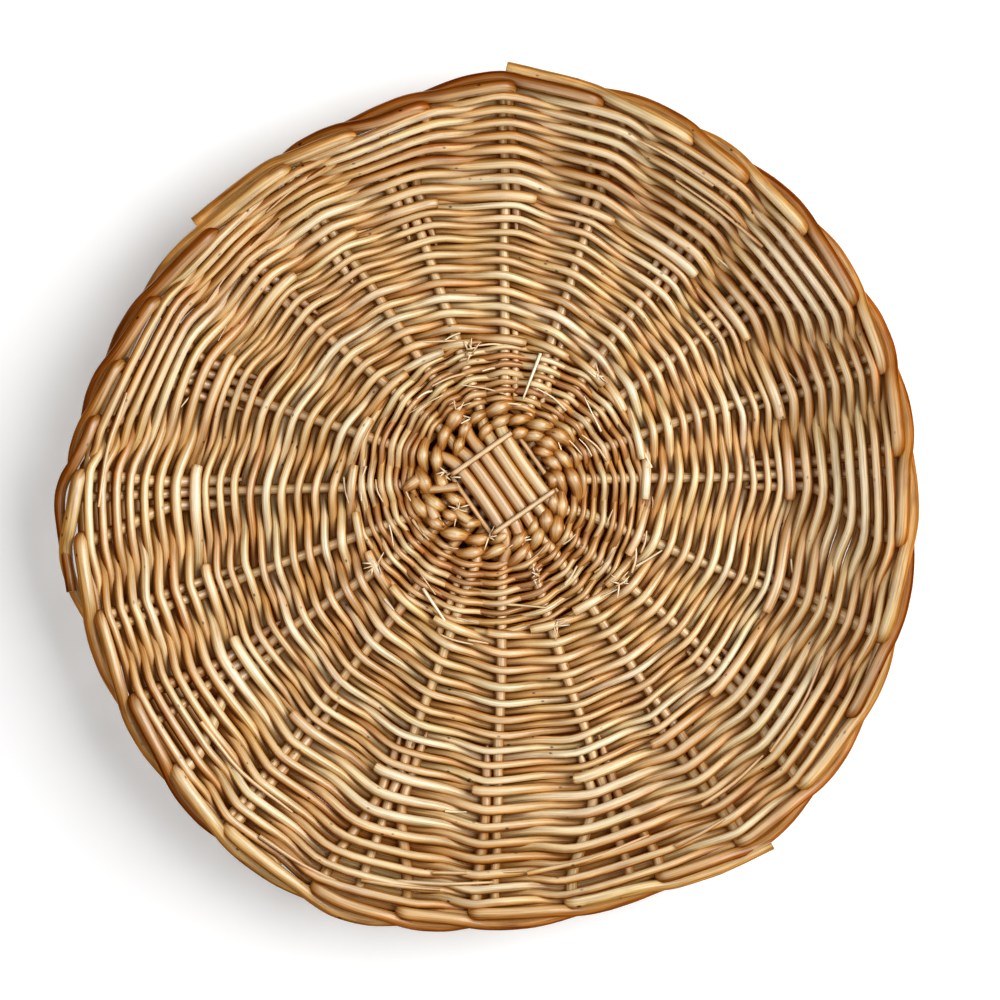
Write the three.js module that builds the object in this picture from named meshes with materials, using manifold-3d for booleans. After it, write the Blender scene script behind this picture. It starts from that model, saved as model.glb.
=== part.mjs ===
// Round serving basket of peeled willow, shallow and open, for chips round a dip bowl.
// Ten base sticks cross in the middle and fan out into twenty spokes; weavers spiral out over and
// under the spokes; a stake beside each spoke rises with the wall and is bent down into the border.
// Millimetres, +Z up, the origin on the table under the middle of the rim.
import * as THREE from "three";
import { mergeVertices } from "three/addons/utils/BufferGeometryUtils.js";
import Module from "manifold-3d";

const manifold = await Module();
manifold.setup();

// Rods
const STICK_DIAMETER = 5.2;
const STAKE_DIAMETER = 5.4;
const WEAVER_DIAMETER = 3.0;
const FINE_DIAMETER = 2.0;
const TIE_DIAMETER = 1.8;
const CLEARANCE = 0.35; // air left between rods that press on each other

// Shape of the basket, measured along the middle of its thickness
const BASE_RADIUS = 125; // where the base turns up into the wall
const BASE_CROWN = 2.2; // rise of the base in the middle
const BEND_RADIUS = 34;
const WALL_SLOPE = 43; // degrees above the table
const LEAN_CROWDING = 0.002; // share by which the rows crowd for each degree of lean
const HUB_SHIFT_X = 8; // the cross sits a little off the middle of the rim
const HUB_SHIFT_Y = 7.5;
const FOOT_TRIM = 0.5; // what wear has taken off the lowest weavers

// Weave
const FINE_START = 41;
const FINE_ROWS = 10;
const WEAVER_ROWS = 30;
const HUB_INNER_RADIUS = 26;
const STAKE_TUCK = 14; // how far a stake is pushed in beside its spoke, inside the bend
const RIM_GAP = 2.2; // open strip between the last row and the border
const STROKE_SPOKES = 2; // spokes that one stake passes along the rim

// The cross: five sticks over five, and where each of the twenty ends points, in degrees
const CROSS_STICKS = 5;
const CROSS_ANGLE = 125;
const CROSS_STRAIGHT = 18; // half length of the parallel part
const FAN_END = 38; // distance from the middle at which the sticks lie in one surface
const SPOKE_ANGLES = [
  3.6, 20.2, 36.9, 52.2, 70.2, 87.7, 106, 121.5, 137.7, 159.3,
  180, 199, 214, 231, 251.6, 271, 290.7, 307.8, 323, 340.7,
];

// Degrees by which the wall stands steeper at each spoke: pulled in on one side, flared opposite
const WALL_LEAN = [
  0, -2, -2, 0, 2, 6, 11, 14, 14, 10,
  6, 4, 1, -3, -6, -4, -4, -6, -6, -4,
];

const SPOKES = SPOKE_ANGLES.length;
const RAD = Math.PI / 180;
const stickRadius = STICK_DIAMETER / 2;
const stakeRadius = STAKE_DIAMETER / 2;
const weaverRadius = WEAVER_DIAMETER / 2;
const fineRadius = FINE_DIAMETER / 2;
const tieRadius = TIE_DIAMETER / 2;
const crossPitch = STICK_DIAMETER + CLEARANCE;
const stakeOffset = stickRadius + stakeRadius + CLEARANCE;
const weaverPitch = WEAVER_DIAMETER + CLEARANCE * 1.7;
const finePitch = FINE_DIAMETER + CLEARANCE;

// Profile of the basket: a shallow dome, a bend, then the straight flaring wall.
const domeRadius = (BASE_RADIUS ** 2 + BASE_CROWN ** 2) / (2 * BASE_CROWN);
const domeAngle = Math.asin(BASE_RADIUS / domeRadius);
const bendStart = domeRadius * domeAngle;
const stakeStart = bendStart - STAKE_TUCK;
const fineEnd = FINE_START + FINE_ROWS * finePitch + fineRadius;
const weaverStart = fineEnd + CLEARANCE + weaverRadius + weaverPitch * 0.6;

// Degrees of lean at an angle, running smoothly from one spoke to the next.
function leanAt(angle) {
  const first = SPOKE_ANGLES[0];
  const turned = angle / RAD - first;
  const degrees = turned - 360 * Math.floor(turned / 360) + first;
  let before = SPOKES - 1;
  while (before > 0 && SPOKE_ANGLES[before] > degrees) {
    before--;
  }
  const from = SPOKE_ANGLES[before];
  const to = before + 1 < SPOKES ? SPOKE_ANGLES[before + 1] : first + 360;
  const t = (degrees - from) / (to - from);
  const share = t * t * (3 - 2 * t);
  return WALL_LEAN[before] * (1 - share) + WALL_LEAN[(before + 1) % SPOKES] * share;
}

// Distance along the profile at which the bend ends and the straight wall begins.
function bendEndAt(angle) {
  const lean = leanAt(angle);
  const bend = BEND_RADIUS * ((WALL_SLOPE + lean) * RAD + domeAngle);
  return bendStart + bend / (1 - LEAN_CROWDING * lean);
}

// Point of the profile at a distance along it from the middle, with the slope there.
function profileAt(distance, angle) {
  const crowding = 1 - LEAN_CROWDING * leanAt(angle);
  const bendEnd = bendEndAt(angle);
  const onDome = Math.min(distance, bendStart) / domeRadius;
  const onBend = Math.max(0, Math.min(distance, bendEnd) - bendStart) * crowding;
  const onWall = Math.max(0, distance - bendEnd) * crowding;
  const slope = distance < bendStart ? -onDome : onBend / BEND_RADIUS - domeAngle;
  let r = domeRadius * Math.sin(onDome);
  let z = domeRadius * (Math.cos(onDome) - Math.cos(domeAngle));
  if (distance > bendStart) {
    r += BEND_RADIUS * (Math.sin(slope) + Math.sin(domeAngle)) + onWall * Math.cos(slope);
    z += BEND_RADIUS * (Math.cos(domeAngle) - Math.cos(slope)) + onWall * Math.sin(slope);
  }
  return { r, z, slope };
}

// Angle of a spoke, with fractions for the places between two spokes.
function spokeAngle(position) {
  const turn = Math.floor(position / SPOKES);
  const place = position - turn * SPOKES;
  const before = Math.floor(place);
  const from = SPOKE_ANGLES[before];
  const to = before + 1 < SPOKES ? SPOKE_ANGLES[before + 1] : SPOKE_ANGLES[0] + 360;
  return (from + (to - from) * (place - before) + 360 * turn) * RAD;
}

// How far a weaver's centre lies off the middle of a spoke, so that its straight runs to the
// spokes on either side clear every rod of this one.
function weaveLift(distance, radius, climb, spoke) {
  const here = spokeAngle(spoke);
  const { r, slope } = profileAt(distance, here);
  const narrow = Math.min(spokeAngle(spoke + 1) - here, here - spokeAngle(spoke - 1));
  const wide = Math.max(spokeAngle(spoke + 1) - here, here - spokeAngle(spoke - 1));
  const run = 2 * (r - climb) * Math.sin(narrow / 2);
  const turn = Math.tan(wide / 2) * Math.max(0, Math.sin(slope));
  const doubled = distance > stakeStart - weaverPitch;
  const spread = doubled ? stakeOffset / 2 : 0;
  const clear = (doubled ? Math.max(stickRadius, stakeRadius) : stickRadius) + radius + CLEARANCE;
  let lift = clear;
  for (let step = 0; step < 24; step++) {
    const steep = (2 * lift) / run + turn;
    lift = clear * Math.hypot(1, steep) + spread * steep;
  }
  return lift;
}

// The most that a weaver lies off the spokes in one row.
function mostLift(distance) {
  let most = 0;
  for (let spoke = 0; spoke < SPOKES; spoke++) {
    most = Math.max(most, weaveLift(distance, weaverRadius, weaverPitch, spoke));
  }
  return most;
}

// Rows of the weavers, from one before the first to one after the last. In the bend the rows
// crowd together on the inside, so there they lie further apart.
const lastBend = Math.max(...SPOKE_ANGLES.map((degrees) => bendEndAt(degrees * RAD)));
const weaverRows = [weaverStart - weaverPitch];
while (weaverRows.length < WEAVER_ROWS + 2) {
  const row = weaverRows[weaverRows.length - 1];
  const bending = row > bendStart - 2 * weaverPitch && row < lastBend + weaverPitch;
  weaverRows.push(row + weaverPitch / (bending ? 1 - mostLift(row) / BEND_RADIUS : 1));
}
const lastRow = weaverRows[WEAVER_ROWS];
const rimRow = lastRow + weaverPitch / 2 + weaverRadius + stakeRadius + RIM_GAP;

// Height of the profile's lowest line above the table, so that the trimmed weavers stand on it.
const lowestRow = bendStart + BEND_RADIUS * domeAngle;
const floorHeight = mostLift(lowestRow) + weaverRadius * Math.cos(Math.PI / 6) - FOOT_TRIM;
const lowestDip = profileAt(lowestRow, 0).z;

// Place on the basket: along the profile at an angle, then sideways, then off its surface.
// The rows run out of centre towards the hub.
function placeAt(distance, angle, sideways = 0, lift = 0) {
  const { r, z, slope } = profileAt(distance, angle);
  const outward = new THREE.Vector3(Math.cos(angle), Math.sin(angle), 0);
  const along = new THREE.Vector3(-Math.sin(angle), Math.cos(angle), 0);
  const up = outward.clone().multiplyScalar(-Math.sin(slope));
  up.z = Math.cos(slope);
  const share = Math.max(0, 1 - distance / rimRow);
  const point = new THREE.Vector3(HUB_SHIFT_X * share, HUB_SHIFT_Y * share, z - lowestDip + floorHeight);
  point.addScaledVector(outward, r).addScaledVector(along, sideways).addScaledVector(up, lift);
  return { point, up };
}

// A rod swept through its stations, each with a point, an upward direction and a radius.
function rodGeometry(stations, sides, closed = false) {
  const count = stations.length;
  const positions = [];
  const triangles = [];
  stations.forEach((station, i) => {
    const before = stations[closed ? (i + count - 1) % count : Math.max(0, i - 1)].point;
    const after = stations[closed ? (i + 1) % count : Math.min(count - 1, i + 1)].point;
    const back = station.point.clone().sub(before).normalize();
    const ahead = after.clone().sub(station.point).normalize();
    const forward = back.add(ahead).normalize();
    const up = station.up.clone().addScaledVector(forward, -station.up.dot(forward)).normalize();
    const side = new THREE.Vector3().crossVectors(forward, up);
    for (let k = 0; k < sides; k++) {
      const turn = (2 * Math.PI * k) / sides + (sides === 4 ? Math.PI / 4 : 0);
      const corner = station.point.clone();
      corner.addScaledVector(side, station.radius * Math.cos(turn));
      corner.addScaledVector(up, station.radius * Math.sin(turn));
      positions.push(corner.x, corner.y, corner.z);
    }
  });
  for (let i = 0; i < (closed ? count : count - 1); i++) {
    const next = (i + 1) % count;
    for (let k = 0; k < sides; k++) {
      const a = i * sides + k;
      const b = i * sides + ((k + 1) % sides);
      const c = next * sides + ((k + 1) % sides);
      const d = next * sides + k;
      triangles.push(a, d, b, b, d, c);
    }
  }
  if (!closed) {
    const last = (count - 1) * sides;
    for (let k = 1; k < sides - 1; k++) {
      triangles.push(0, k, k + 1, last, last + k + 1, last + k);
    }
  }
  const geometry = new THREE.BufferGeometry();
  geometry.setAttribute("position", new THREE.Float32BufferAttribute(positions, 3));
  geometry.setIndex(triangles);
  return geometry;
}

// A solid for cutting, from a closed geometry, and the geometry of a cut solid.
function solidFrom(geometry) {
  const bare = geometry.clone();
  bare.deleteAttribute("normal");
  bare.deleteAttribute("uv");
  const merged = mergeVertices(bare, 1e-4);
  return new manifold.Manifold(new manifold.Mesh({
    numProp: 3,
    vertProperties: merged.getAttribute("position").array,
    triVerts: new Uint32Array(merged.index.array),
  }));
}

function geometryFrom(solid) {
  const mesh = solid.getMesh();
  const geometry = new THREE.BufferGeometry();
  geometry.setAttribute("position", new THREE.BufferAttribute(mesh.vertProperties, 3));
  geometry.setIndex(new THREE.BufferAttribute(mesh.triVerts, 1));
  return geometry;
}

const basket = new THREE.Group();
basket.name = "chip_and_dip_basket";

function addPiece(name, geometry, colour, roughness) {
  const material = new THREE.MeshStandardMaterial({ color: colour, roughness, metalness: 0 });
  geometry.computeVertexNormals();
  const mesh = new THREE.Mesh(geometry, material);
  mesh.name = name;
  basket.add(mesh);
}

const numbered = (name, index) => name + "_" + String(index + 1).padStart(2, "0");

// Base sticks. Each lies straight through the cross, the upper five resting on the lower five,
// then comes to the middle of the base, follows its spoke out and up the wall, and stops under
// the border.
const stickTop = rimRow - stakeRadius - CLEARANCE;
function spokeRows(angle) {
  const rows = [FAN_END, (FAN_END + bendStart) / 2, bendStart];
  for (let step = 1; step <= 4; step++) {
    rows.push(bendStart + ((bendEndAt(angle) - bendStart) * step) / 4);
  }
  rows.push(stickTop);
  return rows;
}

// Spoke at each end of the stick that stands at a place in the cross, counted from the right.
function spokesOfStick(layer, place) {
  const middle = Math.round((CROSS_ANGLE - SPOKE_ANGLES[0]) / (360 / SPOKES)) + layer * CROSS_STICKS;
  const near = middle + place - (CROSS_STICKS - 1) / 2;
  const far = middle + SPOKES / 2 - place + (CROSS_STICKS - 1) / 2;
  return [near, far];
}

function stickStations(layer, place, radius) {
  const heading = (CROSS_ANGLE + 90 * layer) * RAD;
  const sideways = (place - (CROSS_STICKS - 1) / 2) * crossPitch;
  const lift = ((layer === 0 ? 1 : -1) * crossPitch) / 2;
  const [near, far] = spokesOfStick(layer, place);
  const ahead = placeAt(CROSS_STRAIGHT, heading, sideways, lift);
  const behind = placeAt(CROSS_STRAIGHT, heading + Math.PI, -sideways, lift);
  const [start, end] = [spokeAngle(far), spokeAngle(near)];
  const stations = spokeRows(start).map((row) => placeAt(row, start)).reverse();
  stations.push(behind, ahead, ...spokeRows(end).map((row) => placeAt(row, end)));
  return stations.map((station) => ({ ...station, radius }));
}

const channels = [];
for (let layer = 0; layer < 2; layer++) {
  for (let place = 0; place < CROSS_STICKS; place++) {
    const name = numbered("base_stick", layer * CROSS_STICKS + place);
    addPiece(name, rodGeometry(stickStations(layer, place, stickRadius), 6), "#c79a63", 0.55);
    channels.push(solidFrom(rodGeometry(stickStations(layer, place, stickRadius + CLEARANCE), 6)));
  }
}

// Slath tie: a strand that closes round the cross, over the upper sticks and under the lower.
const tieReach = ((CROSS_STICKS - 1) / 2) * crossPitch + stickRadius + tieRadius + CLEARANCE;
const tieLift = crossPitch / 2 + stickRadius + tieRadius + CLEARANCE;
const tieStations = [];
for (let side = 0; side < 4; side++) {
  const heading = (CROSS_ANGLE + 90 * side) * RAD;
  const lift = side % 2 === 0 ? tieLift : -tieLift;
  tieStations.push(placeAt(tieReach, heading, -tieReach, lift));
  tieStations.push(placeAt(tieReach, heading, tieReach, lift));
  tieStations.push(placeAt(Math.hypot(tieReach, tieReach) + tieRadius / 2, heading + 45 * RAD));
}
const crossMiddle = placeAt(0, 0).point;
for (const station of tieStations) {
  station.up = station.point.clone().sub(crossMiddle).setZ(0);
  station.radius = tieRadius;
}
addPiece("slath_tie", rodGeometry(tieStations, 5, true), "#b98a55", 0.6);

// Hub pairing: the thick rows that hold the fan open, as one ring bored for the spokes.
let widestGap = 0;
for (let spoke = 0; spoke < SPOKES; spoke++) {
  widestGap = Math.max(widestGap, spokeAngle(spoke + 1) - spokeAngle(spoke));
}
const hubOuter = (FINE_START - finePitch) * Math.cos(widestGap / 2) - fineRadius - CLEARANCE;
const hubHalf = crossPitch / 2 + stickRadius + CLEARANCE;
const hubMiddle = (HUB_INNER_RADIUS + hubOuter) / 2;
const hubRing = new THREE.LatheGeometry([
  new THREE.Vector2(HUB_INNER_RADIUS, -hubHalf * 0.95),
  new THREE.Vector2(hubMiddle, -hubHalf),
  new THREE.Vector2(hubOuter, -hubHalf * 0.85),
  new THREE.Vector2(hubOuter, hubHalf * 0.85),
  new THREE.Vector2(hubMiddle, hubHalf),
  new THREE.Vector2(HUB_INNER_RADIUS, hubHalf * 0.95),
  new THREE.Vector2(HUB_INNER_RADIUS, -hubHalf * 0.95),
], 2 * SPOKES);
hubRing.rotateX(Math.PI / 2);
const hubCentre = placeAt(hubMiddle, 0, 0, 0).point;
hubRing.translate(hubCentre.x - profileAt(hubMiddle, 0).r, hubCentre.y, hubCentre.z);
let hub = solidFrom(hubRing);
for (const channel of channels) {
  hub = hub.subtract(channel);
}
addPiece("hub_pairing", geometryFrom(hub), "#b07f49", 0.5);

// A weaver that spirals out past one spoke after another, under the first and over the second.
// Its ends stand between two spokes.
function weaverStations(rows, first, under, climb, radius) {
  const stations = rows.map((row, step) => {
    const side = (step + under) % 2 === 0 ? -1 : 1;
    const lift = side * weaveLift(row, radius, climb, first + step);
    const sideways = row > stakeStart - weaverPitch ? stakeOffset / 2 : 0;
    return { ...placeAt(row, spokeAngle(first + step), sideways, lift), radius };
  });
  const last = stations.length - 1;
  stations[0].point.lerp(stations[1].point, 0.45);
  stations[last].point.lerp(stations[last - 1].point, 0.45);
  return stations;
}

// Fine pairing: two thin strands round the hub, each climbing two rows in a whole turn.
const fineClimb = (2 * finePitch) / SPOKES;
const fineRows = [];
for (let step = 0; step <= (FINE_ROWS * SPOKES) / 2; step++) {
  fineRows.push(FINE_START + fineClimb * step);
}
for (let strand = 0; strand < 2; strand++) {
  const stations = weaverStations(fineRows, (strand * SPOKES) / 2, strand, fineClimb, fineRadius);
  addPiece(numbered("fine_pairing", strand), rodGeometry(stations, 4), "#a5703f", 0.6);
}

// Weavers of the base and the wall, one from each spoke, each climbing a row at every spoke. They
// are flat underneath where they stand.
const tableSize = 3 * rimRow;
const table = solidFrom(new THREE.BoxGeometry(tableSize, tableSize, 20).translate(0, 0, -10));
for (let first = 0; first < SPOKES; first++) {
  const stations = weaverStations(weaverRows, first, 1, weaverPitch, weaverRadius);
  const trimmed = solidFrom(rodGeometry(stations, 6)).subtract(table);
  addPiece(numbered("weaver", first), geometryFrom(trimmed), "#c9a06a", 0.5);
}

// Side stakes. Each starts as a pointed end beside its spoke, rises inside the wall, kinks at the
// rim and runs along it past the next spokes, moving outwards so that the following ones lie
// inside it. Together they make the border.
const strokePitch = STAKE_DIAMETER + CLEARANCE;
const kinkRadius = STAKE_DIAMETER * 0.8;
const strokeSteps = Math.round(STROKE_SPOKES * 3);
for (let spoke = 0; spoke < SPOKES; spoke++) {
  const angle = spokeAngle(spoke);
  const rimRadius = profileAt(rimRow, angle).r;
  const bend = bendEndAt(angle) - bendStart;
  const stations = [];
  const add = (place, radius = stakeRadius) => stations.push({ ...place, radius });
  add(placeAt(stakeStart, angle, stakeOffset), stakeRadius * 0.4);
  add(placeAt(stakeStart + STAKE_DIAMETER * 1.6, angle, stakeOffset));
  for (let step = 0; step <= 4; step++) {
    add(placeAt(bendStart + (bend * step) / 4, angle, stakeOffset));
  }
  add(placeAt(rimRow - kinkRadius, angle, stakeOffset));
  const corner = kinkRadius * (1 - Math.SQRT1_2);
  add(placeAt(rimRow - corner, angle, stakeOffset + corner));
  const turned = (stakeOffset + kinkRadius) / rimRadius;
  const share = kinkRadius / rimRadius / (spokeAngle(spoke + 1) - angle);
  add(placeAt(rimRow, angle + turned, 0, -share * strokePitch));
  for (let step = 1; step <= strokeSteps; step++) {
    const along = spokeAngle(spoke + step / 3) + stakeOffset / rimRadius;
    add(placeAt(rimRow, along, 0, (-step / 3) * strokePitch));
  }
  addPiece(numbered("side_stake", spoke), rodGeometry(stations, 6), "#c08f52", 0.45);
}

// The rim is not quite round, so the basket is set with its middle over the origin.
const middle = new THREE.Box3().setFromObject(basket).getCenter(new THREE.Vector3());
for (const piece of basket.children) {
  piece.position.set(-middle.x, -middle.y, 0);
}

export default basket;
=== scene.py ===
import math
import random

import bpy
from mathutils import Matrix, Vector, noise


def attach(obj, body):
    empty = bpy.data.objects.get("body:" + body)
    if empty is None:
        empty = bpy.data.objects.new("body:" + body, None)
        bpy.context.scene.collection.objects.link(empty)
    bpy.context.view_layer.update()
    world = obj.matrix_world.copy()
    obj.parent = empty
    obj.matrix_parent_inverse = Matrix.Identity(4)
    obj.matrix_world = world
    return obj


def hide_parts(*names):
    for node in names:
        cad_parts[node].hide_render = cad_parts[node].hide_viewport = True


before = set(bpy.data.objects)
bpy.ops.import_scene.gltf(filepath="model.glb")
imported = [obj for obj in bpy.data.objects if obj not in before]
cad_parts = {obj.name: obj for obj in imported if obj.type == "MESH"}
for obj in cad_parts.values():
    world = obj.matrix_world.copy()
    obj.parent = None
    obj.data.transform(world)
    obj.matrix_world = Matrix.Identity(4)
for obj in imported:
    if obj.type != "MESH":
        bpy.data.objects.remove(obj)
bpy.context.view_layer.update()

# The studio: a plain room with a broad soft light from the right, a weaker one from the left and an
# even sky. The camera hangs straight above the basket, a little to the right of its middle.
scene = bpy.context.scene
scene.view_settings.view_transform = "Standard"


def linear(hex_colour):
    """A written sRGB colour as the linear colour that a node takes."""
    channels = [int(hex_colour[i:i + 2], 16) / 255 for i in (1, 3, 5)]
    return [c / 12.92 if c <= 0.04045 else ((c + 0.055) / 1.055) ** 2.4 for c in channels] + [1]


def add(tree, kind, links=None, **settings):
    """A new node in this tree, with its settings made and its sockets linked or set."""
    node = tree.nodes.new(kind)
    for name, value in settings.items():
        setattr(node, name, value)
    for socket, source in (links or {}).items():
        if isinstance(source, bpy.types.NodeSocket):
            tree.links.new(source, node.inputs[socket])
        else:
            node.inputs[socket].default_value = source
    return node


def seen_by_eye(tree):
    """1 where the eye sees it, directly, in a gloss or through glass, and 0 where it only lights."""
    path = add(tree, "ShaderNodeLightPath").outputs
    mirrored = add(tree, "ShaderNodeMath", {0: path["Is Camera Ray"], 1: path["Is Glossy Ray"]},
                   operation="MAXIMUM")
    seen = add(tree, "ShaderNodeMath", {0: mirrored.outputs[0], 1: path["Is Transmission Ray"]},
               operation="MAXIMUM")
    return seen.outputs[0]


camera = bpy.data.objects.new("camera", bpy.data.cameras.new("camera"))
camera.location = (0.0056, -0.0009, 0.8)
camera.data.lens = 63.3
camera.data.sensor_width = 36
scene.collection.objects.link(camera)
scene.camera = camera

lamps = (("window_light", (0.95, 0.2, 1.02), 1.1, 22.4),
         ("fill_light", (-0.9, -0.2, 0.9), 1.2, 4.2))
for name, place, size, energy in lamps:
    lamp = bpy.data.objects.new(name, bpy.data.lights.new(name, "AREA"))
    lamp.location = place
    lamp.rotation_euler = (-lamp.location).to_track_quat("-Z", "Y").to_euler()
    lamp.data.size = size
    lamp.data.energy = energy
    scene.collection.objects.link(lamp)

world = bpy.data.worlds.new("room")
world.use_nodes = True
scene.world = world
tree = world.node_tree
tree.nodes.clear()
sky_light = 0.295
sky_white = 1.0
level = add(tree, "ShaderNodeMapRange",
            {"Value": seen_by_eye(tree), "To Min": sky_light, "To Max": sky_white})
sky = add(tree, "ShaderNodeBackground", {"Color": linear("#ffffff"), "Strength": level.outputs[0]})
add(tree, "ShaderNodeOutputWorld", {"Surface": sky.outputs[0]})

# The table: white card, lit like the basket and shown to the eye a little brighter, as a white
# background. Under the base, where it only shows through the gaps, it is shown dark brown as painted
# shade, and past the basket's shadow it fades into plain white.
lit_card = (0.6, 0.6, 0.6, 1)
shown_card = (1.13, 1.13, 1.13, 1)
table_top = bpy.data.materials.new("white card")
table_top.use_nodes = True
tree = table_top.node_tree
tree.nodes.clear()
seen = seen_by_eye(tree)
middle = add(tree, "ShaderNodeVectorMath", {0: add(tree, "ShaderNodeTexCoord").outputs["Object"]},
             operation="LENGTH")
# Painted shade: 0 under the base, where the card is shown dark brown, rising to 1 past the foot.
clear = add(tree, "ShaderNodeMapRange",
            {"Value": middle.outputs["Value"], "From Min": 0.122, "From Max": 0.16})
shown = add(tree, "ShaderNodeMix", {0: clear.outputs[0], 6: linear("#864729"), 7: shown_card},
            data_type="RGBA")
card = add(tree, "ShaderNodeMix", {0: seen, 6: lit_card, 7: shown.outputs[2]}, data_type="RGBA")
matt = add(tree, "ShaderNodeBsdfDiffuse", {"Color": card.outputs[2]})
far = add(tree, "ShaderNodeMapRange",
          {"Value": middle.outputs["Value"], "From Min": 0.3, "From Max": 0.6})
faded = add(tree, "ShaderNodeMath", {0: far.outputs[0], 1: seen}, operation="MULTIPLY")
white = add(tree, "ShaderNodeEmission", {"Color": linear("#ffffff"), "Strength": 1.0})
surface = add(tree, "ShaderNodeMixShader",
              {0: faded.outputs[0], 1: matt.outputs[0], 2: white.outputs[0]})
add(tree, "ShaderNodeOutputMaterial", {"Surface": surface.outputs[0]})
table_reach = 6
table_height = -0.0003
table_corners = [(x * table_reach, y * table_reach, table_height)
                 for x, y in ((-1, -1), (1, -1), (1, 1), (-1, 1))]
table_mesh = bpy.data.meshes.new("table")
table_mesh.from_pydata(table_corners, [], [(0, 1, 2, 3)])
table_mesh.materials.append(table_top)
table = bpy.data.objects.new("table", table_mesh)
scene.collection.objects.link(table)

# Base sticks: ten straight willow rods, peeled and dried. Five lie over five in a square cross,
# then they fan out into twenty spokes that turn up with the wall and end under the border. Three
# short bye sticks stand in beside them where the maker closed a wide gap.
# Sizes from here on are in millimetres. A distance runs out from the hub along the middle of the
# basket's thickness, a lift goes from there to the inside, and a girth is half a rod's thickness.
spoke_degrees = [
    3.6, 20.2, 36.9, 52.2, 70.2, 87.7, 106, 121.5, 137.7, 159.3,
    180, 199, 214, 231, 251.6, 271, 290.7, 307.8, 323, 340.7,
]
spoke_count = len(spoke_degrees)
base_radius = 125
base_crown = 2.2
bend_radius = 34
wall_slope = 43
rim_row = 190.5
spoke_end = rim_row - 4
mid_height = 7.1
hub_shift = Vector((7.8, 7.6, 0))
dome_radius = (base_radius ** 2 + base_crown ** 2) / (2 * base_crown)
dome_angle = math.asin(base_radius / dome_radius)
bend_start = dome_radius * dome_angle
# How many degrees steeper than its slope the wall stands at each spoke, because it was pulled in at
# the back left. For each degree the rows are beaten closer by a small part.
wall_lean = [
    -0.5, -2.5, -2.5, 0.5, 0, 0.5, 14.5, 16, 19.5, 12.5,
    1, 5, 2, -4.5, -9, -1, -1, -9.5, -8, -4,
]
beaten_closer = 0.007


def lean_at(angle):
    """How much steeper the wall stands at this angle, evened out between the two spokes there."""
    degrees = (math.degrees(angle) - spoke_degrees[0]) % 360 + spoke_degrees[0]
    hair = 1e-9
    low = max(spoke for spoke in range(spoke_count) if spoke_degrees[spoke] <= degrees + hair)
    high = (low + 1) % spoke_count
    end = spoke_degrees[high] if high else spoke_degrees[0] + 360
    share = (degrees - spoke_degrees[low]) / (end - spoke_degrees[low])
    return wall_lean[low] * (1 - share) + wall_lean[high] * share


def basket_form(distance, angle):
    """Radius, height and slope of the basket this far out along a spoke at this angle."""
    lean = lean_at(angle)
    on_dome = min(distance, bend_start) / dome_radius
    radius = dome_radius * math.sin(on_dome)
    height = dome_radius * (math.cos(on_dome) - math.cos(dome_angle))
    slope = -on_dome
    if distance > bend_start:
        risen = (distance - bend_start) * (1 - beaten_closer * lean)
        on_bend = min(risen, bend_radius * (math.radians(wall_slope + lean) + dome_angle))
        slope = on_bend / bend_radius - dome_angle
        on_wall = risen - on_bend
        radius += bend_radius * (math.sin(slope) + math.sin(dome_angle)) + on_wall * math.cos(slope)
        height += bend_radius * (math.cos(dome_angle) - math.cos(slope)) + on_wall * math.sin(slope)
    return radius, height, slope


def on_basket(distance, angle, sideways=0, lift=0, inward=0):
    """The point at this place of the basket, which lies a little off centre at the hub."""
    radius, height, slope = basket_form(distance, angle)
    outward = Vector((math.cos(angle), math.sin(angle), 0))
    along = Vector((-math.sin(angle), math.cos(angle), 0))
    up = Vector((0, 0, math.cos(slope))) - outward * math.sin(slope)
    shift = hub_shift * max(0, 1 - distance / rim_row)
    middle = shift + Vector((0, 0, height + mid_height))
    return middle + outward * (radius - inward) + along * sideways + up * lift


def angle_at(place, degrees=spoke_degrees):
    """The angle at a place counted in spokes, or in the marks of another list, and parts of one."""
    turn, place = divmod(place, len(degrees))
    low = int(place)
    start = degrees[low]
    end = degrees[low + 1] if low + 1 < len(degrees) else degrees[0] + 360
    return math.radians(start + (end - start) * (place - low) + 360 * turn)


def bent_rod(stations, steps, tone, seed, roughness=0.035):
    """Points and girths of a rod bent smoothly through its stations, with its tone and seed."""
    points = []
    girths = []
    count = len(stations)
    least = 1e-6
    for i in range(count - 1):
        p0, p1, p2, p3 = (stations[min(max(j, 0), count - 1)][0] for j in range(i - 1, i + 3))
        chord = (p2 - p1).length
        t1 = (p2 - p0) * (chord / max(least, (p2 - p1).length + (p1 - p0).length))
        t2 = (p3 - p1) * (chord / max(least, (p3 - p2).length + (p2 - p1).length))
        for step in range(steps + (i == count - 2)):
            t = step / steps
            a, b = 2 * t ** 3 - 3 * t ** 2 + 1, t ** 3 - 2 * t ** 2 + t
            c, d = -2 * t ** 3 + 3 * t ** 2, t ** 3 - t ** 2
            points.append(p1 * a + t1 * b + p2 * c + t2 * d)
            girths.append(stations[i][1] * (1 - t) + stations[i + 1][1] * t)
    lumps_per_mm = 0.09
    own_lumps = seed * 7.3
    length = 0
    for i, point in enumerate(points):
        length += (point - points[i - 1]).length if i else 0
        girths[i] *= 1 + roughness * noise.noise((length * lumps_per_mm, own_lumps, 0.5))
    return points, girths, tone, seed
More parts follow.
